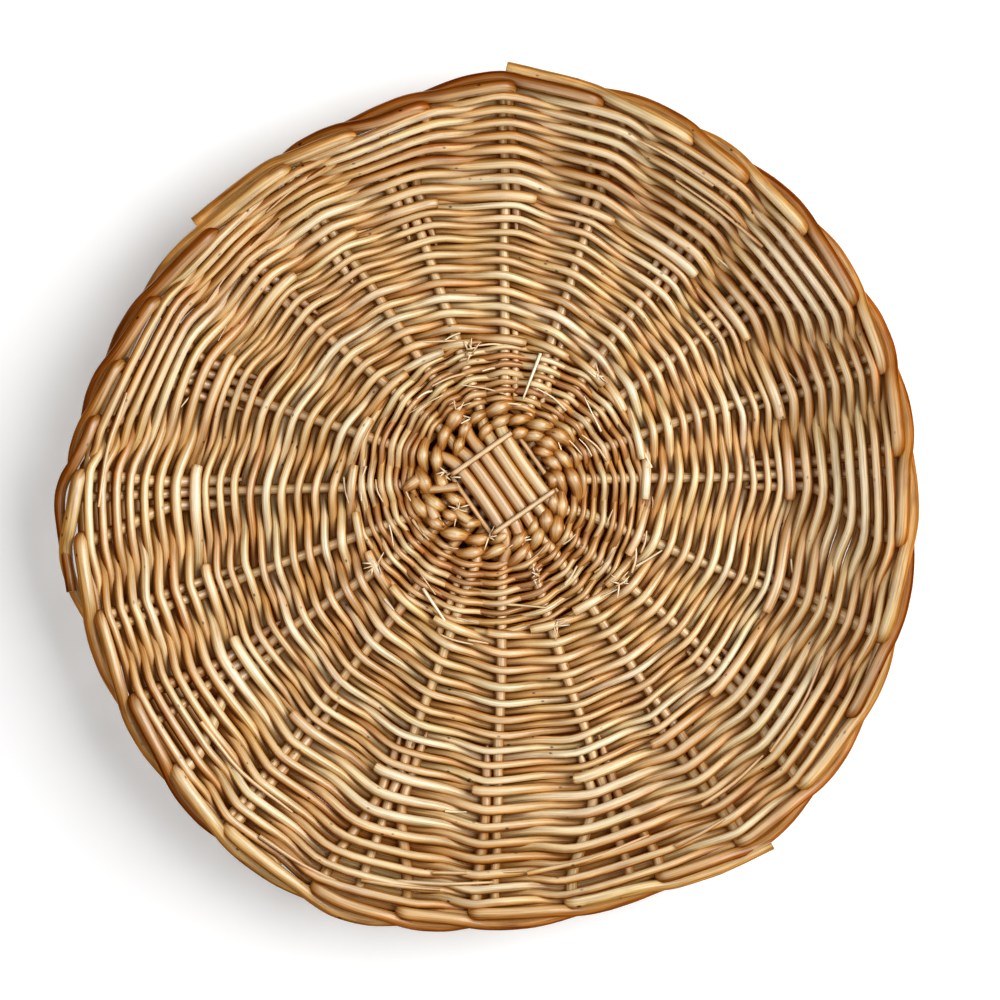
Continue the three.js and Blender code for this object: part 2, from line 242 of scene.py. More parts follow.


# Peeled willow: pale straw to brown wood with a satin skin left by the peeled bark. The eye sees fine
# lengthwise grain, blotches where the bark bruised it, dark bud scars, and a long highlight, partly from
# the lamps and partly painted pale on the crowns. Painted shade browns the wood between the rods.
peeled_willow = bpy.data.materials.new("peeled willow")
peeled_willow.use_nodes = True
tree = peeled_willow.node_tree
shader = tree.nodes["Principled BSDF"]
grain = add(tree, "ShaderNodeAttribute", attribute_name="grain").outputs["Vector"]
tone = add(tree, "ShaderNodeAttribute", attribute_name="tone").outputs["Fac"]
ramp = add(tree, "ShaderNodeValToRGB", {"Fac": tone})
ramp.color_ramp.elements[0].color = linear("#b98746")
ramp.color_ramp.elements[1].color = linear("#fffaec")
for stop, colour in ((0.35, "#e1b87d"), (0.7, "#fae4bc")):
    ramp.color_ramp.elements.new(stop).color = linear(colour)
# The straw colour drifts between a warmer and a greener cream, over about 70 mm of a rod's length.
spread = add(tree, "ShaderNodeVectorMath", {0: grain, 1: (0, 0, 14)}, operation="MULTIPLY")
drift = add(tree, "ShaderNodeTexNoise", {"Vector": spread.outputs[0], "Scale": 1, "Detail": 1})
tint = add(tree, "ShaderNodeValToRGB", {"Fac": drift.outputs["Fac"]})
tint.color_ramp.elements[0].color = linear("#fff7ec")
tint.color_ramp.elements[1].color = linear("#fbfae6")
tint.color_ramp.elements[0].position = 0.36
tint.color_ramp.elements[1].position = 0.64
tinted = add(tree, "ShaderNodeMix", {0: 1.0, 6: ramp.outputs["Color"], 7: tint.outputs["Color"]},
             data_type="RGBA", blend_type="MULTIPLY")
# Bruised blotches, about 5 mm round the rod and 18 mm along it.
spread = add(tree, "ShaderNodeVectorMath", {0: grain, 1: (220, 220, 55)}, operation="MULTIPLY")
blotch = add(tree, "ShaderNodeTexNoise", {"Vector": spread.outputs[0], "Scale": 1, "Detail": 3})
amount = add(tree, "ShaderNodeMapRange",
             {"Value": blotch.outputs["Fac"], "From Min": 0.54, "From Max": 0.76, "To Max": 0.5})
stain = add(tree, "ShaderNodeMix",
            {0: amount.outputs[0], 6: tinted.outputs[2], 7: linear("#a86f36")}, data_type="RGBA")
# Grain streaks, 0.7 mm wide and about 25 mm long, drawn a little coarse so that they show.
spread = add(tree, "ShaderNodeVectorMath", {0: grain, 1: (1400, 1400, 40)}, operation="MULTIPLY")
streak = add(tree, "ShaderNodeTexNoise",
             {"Vector": spread.outputs[0], "Scale": 1, "Detail": 4, "Roughness": 0.6})
shade = add(tree, "ShaderNodeMapRange",
            {"Value": streak.outputs["Fac"], "From Min": 0.3, "From Max": 0.7,
             "To Min": 0.6, "To Max": 1.28})
streaked = add(tree, "ShaderNodeMix", {0: 1.0, 6: stain.outputs[2], 7: shade.outputs[0]},
               data_type="RGBA", blend_type="MULTIPLY")
# Bud scars, about 1 mm across and 1.5 mm long, roughly a centimetre apart.
spread = add(tree, "ShaderNodeVectorMath", {0: grain, 1: (170, 170, 95)}, operation="MULTIPLY")
buds = add(tree, "ShaderNodeTexVoronoi", {"Vector": spread.outputs[0], "Scale": 1, "Randomness": 1})
scar = add(tree, "ShaderNodeMapRange",
           {"Value": buds.outputs["Distance"], "From Min": 0.05, "From Max": 0.1,
            "To Min": 0.8, "To Max": 0.0})
scarred = add(tree, "ShaderNodeMix",
              {0: scar.outputs[0], 6: streaked.outputs[2], 7: linear("#553518")}, data_type="RGBA")
# Painted shade: down between the rods, where shade falls, the wood colour is deepened and browned, and
# the crowns are painted pale as a highlight.
painted_lighting = add(tree, "ShaderNodeAttribute", attribute_name="painted_lighting").outputs["Fac"]
# Painted shade: 1 deep between the rods, where the colour is browned and deepened, and 0 on the crowns.
painted_shade_amount = add(tree, "ShaderNodeMapRange",
             {"Value": painted_lighting, "From Min": 0.2, "From Max": 0.98, "To Min": 1.0, "To Max": 0.0})
painted_shade_gamma = add(tree, "ShaderNodeMapRange",
            {"Value": painted_lighting, "From Min": 0.2, "From Max": 0.98, "To Min": 2.3, "To Max": 1.0})
shade_deepened_colour = add(tree, "ShaderNodeGamma", {"Color": scarred.outputs[2], "Gamma": painted_shade_gamma.outputs[0]})
painted_shade_colour = add(tree, "ShaderNodeMix",
              {0: painted_shade_amount.outputs[0], 6: shade_deepened_colour.outputs[0], 7: linear("#a8740e")},
              data_type="RGBA", blend_type="MULTIPLY")
# Painted highlight: the most open crowns of the rods are mixed towards cream.
painted_highlight_amount = add(tree, "ShaderNodeMapRange",
           {"Value": painted_lighting, "From Min": 0.8, "From Max": 1.0, "To Max": 0.28})
pale = add(tree, "ShaderNodeMix", {0: painted_highlight_amount.outputs[0], 6: painted_shade_colour.outputs[2], 7: linear("#fff6de")},
           data_type="RGBA")
tree.links.new(pale.outputs[2], shader.inputs["Base Color"])
satin = add(tree, "ShaderNodeMapRange",
            {"Value": streak.outputs["Fac"], "To Min": 0.22, "To Max": 0.42})
tree.links.new(satin.outputs[0], shader.inputs["Roughness"])
ridges = add(tree, "ShaderNodeBump",
             {"Height": streak.outputs["Fac"], "Strength": 0.35, "Distance": 0.0002})
tree.links.new(ridges.outputs[0], shader.inputs["Normal"])
shader.inputs["IOR"].default_value = 1.55
# Dust between the rods dulls the skin there.
gloss = add(tree, "ShaderNodeMapRange",
            {"Value": painted_lighting, "From Min": 0.55, "From Max": 0.95, "To Min": 0.0, "To Max": 1.0})
tree.links.new(gloss.outputs[0], shader.inputs["Specular IOR Level"])

# Cut willow end: the dull end grain of a cut rod, in straw and brown specks under a millimetre wide.
cut_end = bpy.data.materials.new("cut willow end")
cut_end.use_nodes = True
tree = cut_end.node_tree
shader = tree.nodes["Principled BSDF"]
grain = add(tree, "ShaderNodeAttribute", attribute_name="grain").outputs["Vector"]
spread = add(tree, "ShaderNodeVectorMath", {0: grain, 1: (1500, 1500, 0)}, operation="MULTIPLY")
fibre = add(tree, "ShaderNodeTexNoise", {"Vector": spread.outputs[0], "Scale": 1, "Detail": 3})
ramp = add(tree, "ShaderNodeValToRGB", {"Fac": fibre.outputs["Fac"]})
ramp.color_ramp.elements[0].color = linear("#7d5128")
ramp.color_ramp.elements[1].color = linear("#e8c894")
ramp.color_ramp.elements[0].position = 0.3
ramp.color_ramp.elements[1].position = 0.65
tree.links.new(ramp.outputs["Color"], shader.inputs["Base Color"])
shader.inputs["Roughness"].default_value = 0.85

# The rod tree sweeps a round section along every laid path, thick as its girth says, with the
# slight unevenness of a grown rod and a flat cut at each end.
rod_tree = bpy.data.node_groups.new("willow rods", "GeometryNodeTree")
for name, kind in (("Paths", "NodeSocketGeometry"), ("Sides", "NodeSocketInt"),
                   ("Unevenness", "NodeSocketFloat"), ("Half thickness", "NodeSocketFloat"),
                   ("Painted light floor", "NodeSocketFloat"), ("Rod wood", "NodeSocketMaterial"),
                   ("Cut wood", "NodeSocketMaterial")):
    rod_tree.interface.new_socket(name, in_out="INPUT", socket_type=kind)
rod_tree.interface.new_socket("Rods", in_out="OUTPUT", socket_type="NodeSocketGeometry")
given = add(rod_tree, "NodeGroupInput").outputs
girth = add(rod_tree, "GeometryNodeInputNamedAttribute", {"Name": "girth"}).outputs["Attribute"]
length = add(rod_tree, "GeometryNodeInputNamedAttribute", {"Name": "along"}).outputs["Attribute"]
lines = add(rod_tree, "GeometryNodeMeshToCurve", {"Mesh": given["Paths"]})
ring = add(rod_tree, "GeometryNodeCurvePrimitiveCircle", {"Resolution": given["Sides"], "Radius": 1.0})
place = add(rod_tree, "GeometryNodeInputPosition")
ring = add(rod_tree, "GeometryNodeStoreNamedAttribute",
           {"Geometry": ring.outputs[0], "Name": "section", "Value": place.outputs[0]},
           data_type="FLOAT_VECTOR", domain="POINT")
swept = add(rod_tree, "GeometryNodeCurveToMesh",
            {"Curve": lines.outputs[0], "Profile Curve": ring.outputs[0], "Scale": girth,
             "Fill Caps": True})
section = add(rod_tree, "GeometryNodeInputNamedAttribute", {"Name": "section"},
              data_type="FLOAT_VECTOR")
across = add(rod_tree, "ShaderNodeVectorMath", {0: section.outputs["Attribute"], "Scale": girth},
             operation="SCALE")
down = add(rod_tree, "ShaderNodeCombineXYZ", {"Z": length})
grain = add(rod_tree, "ShaderNodeVectorMath", {0: across.outputs[0], 1: down.outputs[0]},
            operation="ADD")
marked = add(rod_tree, "GeometryNodeStoreNamedAttribute",
             {"Geometry": swept.outputs[0], "Name": "grain", "Value": grain.outputs[0]},
             data_type="FLOAT_VECTOR", domain="POINT")
# How open each spot lies, from 0 deep between the rods to 1 on the crown of a rod at either face. By it
# the willow paints shade between the rods and a pale highlight on the crowns.
facing = add(rod_tree, "GeometryNodeInputNormal")
lift = add(rod_tree, "GeometryNodeInputNamedAttribute", {"Name": "lift"}).outputs["Attribute"]
inside = add(rod_tree, "GeometryNodeInputNamedAttribute", {"Name": "inside"},
             data_type="FLOAT_VECTOR")
upward = add(rod_tree, "ShaderNodeVectorMath", {0: facing.outputs[0], 1: inside.outputs["Attribute"]},
             operation="DOT_PRODUCT")
face = add(rod_tree, "ShaderNodeMapRange",
           {"Value": upward.outputs["Value"], "From Min": -0.3, "From Max": 0.3,
            "To Min": -0.2, "To Max": 0.2})
raised = add(rod_tree, "ShaderNodeMath", {0: lift, 1: given["Half thickness"]}, operation="DIVIDE")
raised = add(rod_tree, "ShaderNodeMath", {0: raised.outputs[0], 1: face.outputs[0]},
             operation="MULTIPLY")
crown = add(rod_tree, "ShaderNodeMath", {0: upward.outputs["Value"]}, operation="ABSOLUTE")
crown_share = 0.6
crown = add(rod_tree, "ShaderNodeMath", {0: crown.outputs[0], 1: crown_share, 2: given["Painted light floor"]},
            operation="MULTIPLY_ADD")
# Painted light: the crowns count as open and lit, the sides and the under strokes as shaded.
stands = add(rod_tree, "ShaderNodeMath", {0: crown.outputs[0], 1: raised.outputs[0]},
             operation="ADD", use_clamp=True)
marked = add(rod_tree, "GeometryNodeStoreNamedAttribute",
             {"Geometry": marked.outputs[0], "Name": "painted_lighting", "Value": stands.outputs[0]},
             data_type="FLOAT", domain="POINT")
# The rods swell and shrink in lumps about 6 mm round them and 9 mm along them.
coarse = add(rod_tree, "ShaderNodeVectorMath", {0: grain.outputs[0], 1: (160, 160, 110)},
             operation="MULTIPLY")
swell = add(rod_tree, "ShaderNodeTexNoise", {"Vector": coarse.outputs[0], "Scale": 1.0, "Detail": 1.0})
noise_middle = 0.5
swell = add(rod_tree, "ShaderNodeMath", {0: swell.outputs["Fac"], 1: noise_middle},
            operation="SUBTRACT")
swell = add(rod_tree, "ShaderNodeMath", {0: swell.outputs[0], 1: given["Unevenness"]},
            operation="MULTIPLY")
swell = add(rod_tree, "ShaderNodeMath", {0: swell.outputs[0], 1: girth}, operation="MULTIPLY")
offset = add(rod_tree, "ShaderNodeVectorMath", {0: facing.outputs[0], "Scale": swell.outputs[0]},
             operation="SCALE")
grown = add(rod_tree, "GeometryNodeSetPosition",
            {"Geometry": marked.outputs[0], "Offset": offset.outputs[0]})
# A rod's skin has four-sided faces, so a face with more corners is a cut end.
corners = add(rod_tree, "GeometryNodeInputMeshFaceNeighbors")
is_end = add(rod_tree, "FunctionNodeCompare", {2: corners.outputs["Vertex Count"], 3: 4},
             data_type="INT", operation="GREATER_THAN")
rounded = add(rod_tree, "GeometryNodeSetShadeSmooth",
              {"Geometry": grown.outputs[0], "Shade Smooth": True})
flat = add(rod_tree, "GeometryNodeSetShadeSmooth",
           {"Geometry": rounded.outputs[0], "Selection": is_end.outputs[0], "Shade Smooth": False})
real = add(rod_tree, "GeometryNodeRealizeInstances", {"Geometry": flat.outputs[0]})
skinned = add(rod_tree, "GeometryNodeSetMaterial",
              {"Geometry": real.outputs[0], "Material": given["Rod wood"]})
capped = add(rod_tree, "GeometryNodeSetMaterial",
             {"Geometry": skinned.outputs[0], "Selection": is_end.outputs[0],
              "Material": given["Cut wood"]})
add(rod_tree, "NodeGroupOutput", {"Rods": capped.outputs[0]})


def above_weave(point):
    """Lift of a point over the middle of the basket's thickness, and the way to the inside."""
    distance = math.hypot(point.x, point.y)
    for _ in range(6):
        away = point - hub_shift * max(0, 1 - distance / rim_row)
        angle = math.atan2(away.y, away.x)
        radius, height, slope = basket_form(distance, angle)
        out = math.hypot(away.x, away.y) - radius
        rise = point.z - mid_height - height
        distance = max(0, distance + out * math.cos(slope) + rise * math.sin(slope))
    tilt = -math.sin(slope)
    inside = (math.cos(angle) * tilt, math.sin(angle) * tilt, math.cos(slope))
    return out * tilt + rise * math.cos(slope), inside


def lay_rods(name, rods, sides, half_thickness, nodes, unevenness=0.12, painted_light_floor=0.2):
    """One finished mesh of all these rods, riding on the basket in place of the CAD nodes.

    The half thickness is that of the weave where they lie, and the last setting is the least painted
    light that every spot gets, which lessens the painted shade between the rods.
    """
    millimetre = 0.001
    own_grain = 3.7
    vertices, edges, girths, lengths, tones, lifts, insides = [], [], [], [], [], [], []
    for points, half, tone, seed in rods:
        length = seed * own_grain
        for i, point in enumerate(points):
            if i:
                edges.append((len(vertices) - 1, len(vertices)))
                length += (point - points[i - 1]).length * millimetre
            vertices.append(point * millimetre)
            girths.append(half[i] * millimetre)
            lengths.append(length)
            tones.append(tone[i] if isinstance(tone, list) else tone)
            lift, inside = above_weave(point)
            lifts.append(lift * millimetre)
            insides.extend(inside)
    paths = bpy.data.meshes.new(name)
    paths.from_pydata(vertices, edges, [])
    for label, values in (("girth", girths), ("along", lengths), ("tone", tones), ("lift", lifts)):
        paths.attributes.new(label, "FLOAT", "POINT").data.foreach_set("value", values)
    paths.attributes.new("inside", "FLOAT_VECTOR", "POINT").data.foreach_set("vector", insides)
    piece = bpy.data.objects.new(name, paths)
    scene.collection.objects.link(piece)
    modifier = piece.modifiers.new("willow rods", "NODES")
    modifier.node_group = rod_tree
    settings = {"Sides": sides, "Unevenness": unevenness, "Half thickness": half_thickness * millimetre,
                "Painted light floor": painted_light_floor, "Rod wood": peeled_willow, "Cut wood": cut_end}
    for socket in rod_tree.interface.items_tree:
        if socket.name in settings and socket.in_out == "INPUT":
            modifier[socket.identifier] = settings[socket.name]
    graph = bpy.context.evaluated_depsgraph_get()
    finished = bpy.data.meshes.new_from_object(piece.evaluated_get(graph), preserve_all_data_layers=True,
                                               depsgraph=graph)
    piece.modifiers.remove(modifier)
    piece.data = finished
    bpy.data.meshes.remove(paths)
    finished.name = name
    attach(piece, "root")
    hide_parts(*nodes)


cross_angle = math.radians(125)
cross_edge = 16.5
cross_pitch = 6.2
cross_lift = 3.1
cross_girth = 3.05
fan_edge = 25
fan_pitch = 7.6
fan_girth = 2.7
straight_to = 60
spoke_girths = ((36, 2.5), (straight_to, 2.5), (90, 2.45), (115, 2.4), (132, 2.4), (142, 2.35),
                (152, 2.3), (162, 2.25), (176, 2.2), (spoke_end, 2.1))
brown_to = 22
pale_after = 20
paler = 0.25
chance = random.Random(11)
sticks = []
for layer in (0, 1):
    heading = cross_angle + layer * math.pi / 2
    lift = cross_lift if layer == 0 else -cross_lift
    for place in range(-2, 3):
        stations = []
        for end, spoke in ((-1, 17 + 5 * layer - place), (1, 7 + 5 * layer + place)):
            outward = heading + (math.pi if end < 0 else 0)
            half = [(on_basket(cross_edge, outward, end * place * cross_pitch, lift), cross_girth)]
            half.append((on_basket(fan_edge, outward, end * place * fan_pitch, lift * 0.5), fan_girth))
            for distance, girth in spoke_girths:
                drift = chance.uniform(-0.5, 0.5) if distance > straight_to else 0
                half.append((on_basket(distance, angle_at(spoke), drift), girth))
            stations = stations[::-1] + half if end > 0 else half
        points, girths, tone, seed = bent_rod(stations, steps=5, tone=chance.uniform(0.26, 0.4),
                                              seed=layer * 5 + place + 3)
        # The sticks are browner in the cross than outside it.
        tones = [tone + paler * min(1, max(0, point.length - brown_to) / pale_after) for point in points]
        sticks.append((points, girths, tones, seed))
bye_beside = -4.7
bye_girths = ((39, 1.2), (48, 1.8), (60, 1.9), (74, 1.7))
for spoke in (4, 5, 14):
    stations = [(on_basket(distance, angle_at(spoke), bye_beside), girth)
                for distance, girth in bye_girths]
    sticks.append(bent_rod(stations, steps=5, tone=chance.uniform(0.42, 0.6), seed=12 + spoke))
lay_rods("base_sticks", sticks, sides=14, half_thickness=12,
         nodes=[f"base_stick_{i:02d}" for i in range(1, 11)], painted_light_floor=0.27)

# Slath ties: two thin rods drawn tight round the cross, one over the upper sticks and under the
# lower ones, the other the opposite way, so that each side of the square shows one.
tie_girth = 1.25
tie_corner = 1.43
tie_stations = 23
ties = []
for kind, high in enumerate((7.4, 1.6)):
    stations = []
    reach = 16.0 + 1.6 * kind
    half_side = 15.9 + kind
    for side in range(5):
        heading = cross_angle + math.pi / 2 * side
        over = (side + kind) % 2 == 0
        lift = high if over else -high
        for across, bow in ((-0.98, 0), (-0.5, 0), (0, 0.3), (0.5, 0), (0.98, 0)):
            stations.append((on_basket(reach, heading, across * half_side, lift + bow), tie_girth))
        stations.append((on_basket(reach * tie_corner, heading + math.pi / 4), tie_girth))
    ties.append(bent_rod(stations[:tie_stations], steps=4, tone=0.3 + 0.2 * kind, seed=31 + kind))
lay_rods("slath_ties", ties, sides=10, half_thickness=6, nodes=["slath_tie"])

# Hub pairing: two thick soaked rods twisted round each other for a little over two turns, one over
# a spoke while the other goes under it. They spread the crossed sticks into spokes. Four cut ends
# show at the left, where rods were joined.
opposite = spoke_count // 2
hub_steps = 42
hub_start = 22.5
hub_width = 13.0
hub_height = 4.3
hub_slant = 2.3
hub_narrowing = 0.72
hub_drift = Vector((-3, 0.5, 0))
hub_rods = []
for strand in (0, 1):
    stations = [(on_basket(21, angle_at(opposite * strand - 0.6), 0, -3), 1.8)]
    for step in range(hub_steps + 1):
        spoke = step + opposite * strand
        row = hub_start + hub_width * step / hub_steps
        over = (step + strand) % 2 == 0
        girth = (2.5 + 0.6 * min(1, step / 22)) * chance.uniform(0.82, 1.12)
        height = (hub_height if over else -hub_height) * chance.uniform(0.85, 1.12)
        slant = (-hub_slant if over else hub_slant) * chance.uniform(0.6, 1.3)
        drift = hub_drift * min(1, step / spoke_count)
        stations.append((on_basket(row, angle_at(spoke), 0, height) + drift, girth))
        between = on_basket(row + slant, angle_at(spoke + 0.5), 0, 0.3)
        stations.append((between + drift, girth * hub_narrowing))
    hub_rods.append(bent_rod(stations, steps=5, tone=0.34 + 0.12 * strand, seed=41 + strand,
                             roughness=0.12))


def bowed_end(x, y, end_x, end_y, heights, girths):
    """Stations of a short end that lies on the weave, from one place to another."""
    places = ((x, y), (0.5 * (x + end_x), 0.5 * (y + end_y)), (end_x, end_y))
    return [(Vector((*place, height)), girth) for place, height, girth in zip(places, heights, girths)]


hub_ends = ((-29.8, 3.4, -13.3, 5.1, 2.0), (-36.5, 4.4, -30.5, 8.6, 2.7),
            (-26.9, -1.5, -23.0, -9.3, 2.4), (-15.5, -5.2, -8.0, -10.5, 2.3))
for index, (x, y, end_x, end_y, girth) in enumerate(hub_ends):
    stations = bowed_end(x, y, end_x, end_y, (11.5, 13.6, 14.2), (girth * 0.8, girth, girth))
    hub_rods.append(bent_rod(stations, steps=5, tone=chance.uniform(0.25, 0.5), seed=45 + index,
                             roughness=0.12))
lay_rods("hub_pairing_rods", hub_rods, sides=14, half_thickness=7.0,
         nodes=["hub_pairing"])

# Fine pairing: thin brown tips worked in pairs for eight rows round the hub, each joined on where the
# one before it ran out. Strokes here and in the weavers are set a little in or out by their lift, so
# that the weave closes to an eye this high above it.
eye_height = 790
fine_steps = 155
fine_start = 36.0
fine_width = 31.5
fine_height = 2.7
fine_slant = 0.8
fine_narrowing = 0.97
joined_every = 29
joined_over = 3
fine_rods = []
for strand in (0, 1):
    stations = []
    for step in range(fine_steps + 1):
        spoke = step + opposite * strand
        row = fine_start + fine_width * (step / fine_steps) ** 1.05
        drift = hub_drift * max(0, 1 - (row - 37) / 16)
        over = (step + strand) % 2 == 0
        girth = (1.68 - 0.2 * step / fine_steps) * chance.uniform(0.8, 1.15)
        height = (fine_height if over else -fine_height) + chance.uniform(-0.5, 0.5)
        slant = (-fine_slant if over else fine_slant) + chance.uniform(-0.35, 0.35)
        set_row = row - height * row / eye_height + chance.uniform(-0.35, 0.35)
        stations.append((on_basket(set_row, angle_at(spoke), 0, height) + drift, girth))
        between = on_basket(row + slant, angle_at(spoke + 0.5), 0, 0, 0.6)
        stations.append((between + drift, girth * fine_narrowing))
    for cut in range(0, len(stations) - joined_over, joined_every):
        length_used = stations[cut:cut + joined_every + joined_over]
        fine_rods.append(bent_rod(length_used, steps=4, tone=chance.uniform(0.2, 0.85),
                                  seed=51 + cut + strand, roughness=0.1))
lay_rods("fine_pairing_rods", fine_rods, sides=8, half_thickness=4.0,
         nodes=["fine_pairing_01", "fine_pairing_02"], painted_light_floor=0.15)

# Base weavers: twenty rods, one begun at every spoke with its thick butt lying on the inside. Each
# goes over one and under one, and climbs past the rod before it, out to the foot of the wall.
# They pass round the side stakes too, so each stake is first given its place beside a spoke, the
# nearest one to its kink at the rim.
kink_degrees = [
    6.9, 18.4, 28.7, 40.8, 51.7, 60.8, 74.6, 87, 99.5, 111, 121.9, 136.5, 149.7, 160.3, 168.8,
    177, 186, 197.2, 210.1, 221.6, 232.2, 246.6, 258.6, 268.4, 282, 295, 306.7, 318.2, 329.7,
    340.9, 354.4,
]
stakes_of_spoke = {spoke: [] for spoke in range(spoke_count)}
for kink in kink_degrees:
    gaps = [((kink - degrees + 180) % 360 - 180, spoke) for spoke, degrees in enumerate(spoke_degrees)]
    lean, spoke = min(gaps, key=lambda gap: abs(gap[0]))
    stakes_of_spoke[spoke].append((lean, kink))
stake_pitch = 4.9
stake_gap = 0.4
stakes = []
for spoke, found in stakes_of_spoke.items():
    taken = {-1: 0, 1: 0}
    for lean, kink in sorted(found, key=lambda stake: abs(stake[0])):
        side = 1 if lean >= 0 else -1
        if taken[side] and not taken[-side]:
            side = -side
        taken[side] += 1
        beside = side * (stake_gap + stake_pitch * taken[side])
        stakes.append({"spoke": spoke, "beside": beside, "kink": math.radians(kink),
                       "lean": math.radians(lean)})
stakes_from = 116
stakes_lean_from = 140


def stake_sideways(stake, distance):
    """How far beside its spoke a stake lies at this distance, as it leans over to its kink."""
    rim_radius = basket_form(rim_row, stake["kink"])[0]
    share = min(1, max(0, (distance - stakes_lean_from) / (spoke_end - stakes_lean_from)))
    share = share * share * (3 - 2 * share)
    return stake["beside"] * (1 - share) + stake["lean"] * rim_radius * share


def spoke_edges(spoke, distance):
    """Where a weaver first and last touches a spoke and the stakes beside it, measured sideways."""
    touch = 1.6
    edges = [-touch, touch]
    if distance > stakes_from:
        for stake in stakes:
            if stake["spoke"] == spoke % spoke_count:
                sideways = stake_sideways(stake, distance)
                edges += [sideways - touch, sideways + touch]
    return min(edges), max(edges)


def weaver(first, rows, girths, seed, loose_end):
    """Stations of a rod begun at this spoke, over one and under one, with a loose tip at its end."""
    spoke_half = 1.75
    wide_spoke = 6
    closing = 0.92
    most_closing = 0.75
    wall_from = 160
    stations = []
    count = len(rows)
    jitter = random.Random(seed)
    for step in range(count):
        spoke = first + step
        row = rows[step]
        girth = girths[step]
        angle = angle_at(spoke)
        radius, _, slope = basket_form(row, angle)
        low, high = spoke_edges(spoke, row)
        over = step % 2 == 0
        lift = (spoke_half + girth) * (1 if over else -1) * jitter.uniform(0.93, 1.05)
        tilt = closing * min(most_closing, math.tan(slope - math.atan2(radius, eye_height)))
        row += jitter.uniform(-0.2, 0.2) + lift * tilt
        if step == 0:
            butt = angle + (low - jitter.uniform(4, 9)) / radius
            stations.append((on_basket(row - 0.6, butt, 0, lift * 0.72), girth))
        if high - low > wide_spoke:
            stations.append((on_basket(row, angle + low / radius, 0, lift), girth))
            stations.append((on_basket(row, angle + high / radius, 0, lift), girth))
        else:
            stations.append((on_basket(row, angle, 0, lift), girth))
        next_row = rows[step + 1] if step + 1 < count else row + 2 * girth
        next_angle = angle_at(spoke + 1)
        next_low = spoke_edges(spoke + 1, next_row)[0]
        gap = 0.5 * (angle + high / radius + next_angle + next_low / radius)
        sag = radius * (1 - math.cos((next_angle - angle) / 2)) * (1.0 if row < wall_from else 0.6)
        if step + 1 < count:
            between = on_basket(0.5 * (rows[step] + next_row), gap, 0, 0, sag)
            stations.append((between, 0.5 * (girth + girths[step + 1])))
        else:
            end = angle + (gap - angle) * loose_end
            stations.append((on_basket(row + girth, gap, 0, lift * 0.6, sag), girth))
            if loose_end > 1.1:
                sag *= max(0, 1 - (loose_end - 1) ** 2)
                stations.append((on_basket(row + girth * 1.8, end, 0, lift * 0.75, sag), girth * 0.85))
    return stations


def taper(butt, tip, count):
    """Girths of a rod from its butt to its tip, one for each spoke that it passes."""
    return [butt + (tip - butt) * (k / (count - 1)) ** 0.85 for k in range(count)]


def beaten_rows(start, girths, pitch):
    """Distances of a rod from the hub, each further out by the thickness that it climbs past."""
    rows = [start]
    for girth in girths[:-1]:
        rows.append(rows[-1] + girth * pitch)
    return rows


def weave_round(rows, girths, scales, loose_ends, tones, seed):
    """Twenty like weavers, one begun at every spoke, each a little thicker or thinner than the next."""
    rods = []
    for first in range(spoke_count):
        scale = chance.uniform(*scales)
        loose_end = chance.uniform(*loose_ends)
        stations = weaver(first, rows, [girth * scale for girth in girths], seed + first, loose_end)
        rods.append(bent_rod(stations, steps=4, tone=chance.uniform(*tones), seed=seed + first))
    return rods


base_girths = taper(butt=2.1, tip=1.62, count=20)
base_rows = beaten_rows(start=66.5, girths=base_girths, pitch=1.88)
base_weavers = weave_round(base_rows, base_girths, scales=(0.92, 1.08), loose_ends=(1.5, 2.3),
                           tones=(0.34, 0.9), seed=100)
lay_rods("base_weavers", base_weavers, sides=10, half_thickness=5.3,
         nodes=[f"weaver_{i:02d}" for i in range(1, 21)])

# Side stakes: strong rods with slyped tips pushed in beside the spokes. They rise inside the wall,
# lean to stand evenly round the rim, and are kinked over it one after another to make the border.
# Four of their cut ends were left standing out past their neighbours.
proud_ends = {5: 2.03, 9: 2.02, 14: 2.6, 24: 2.24}
stake_top = rim_row - 6
stake_girths = ((134, 2.5), (144, 2.6), (154, 2.65), (164, 2.7), (175, 2.75), (stake_top, 2.8))
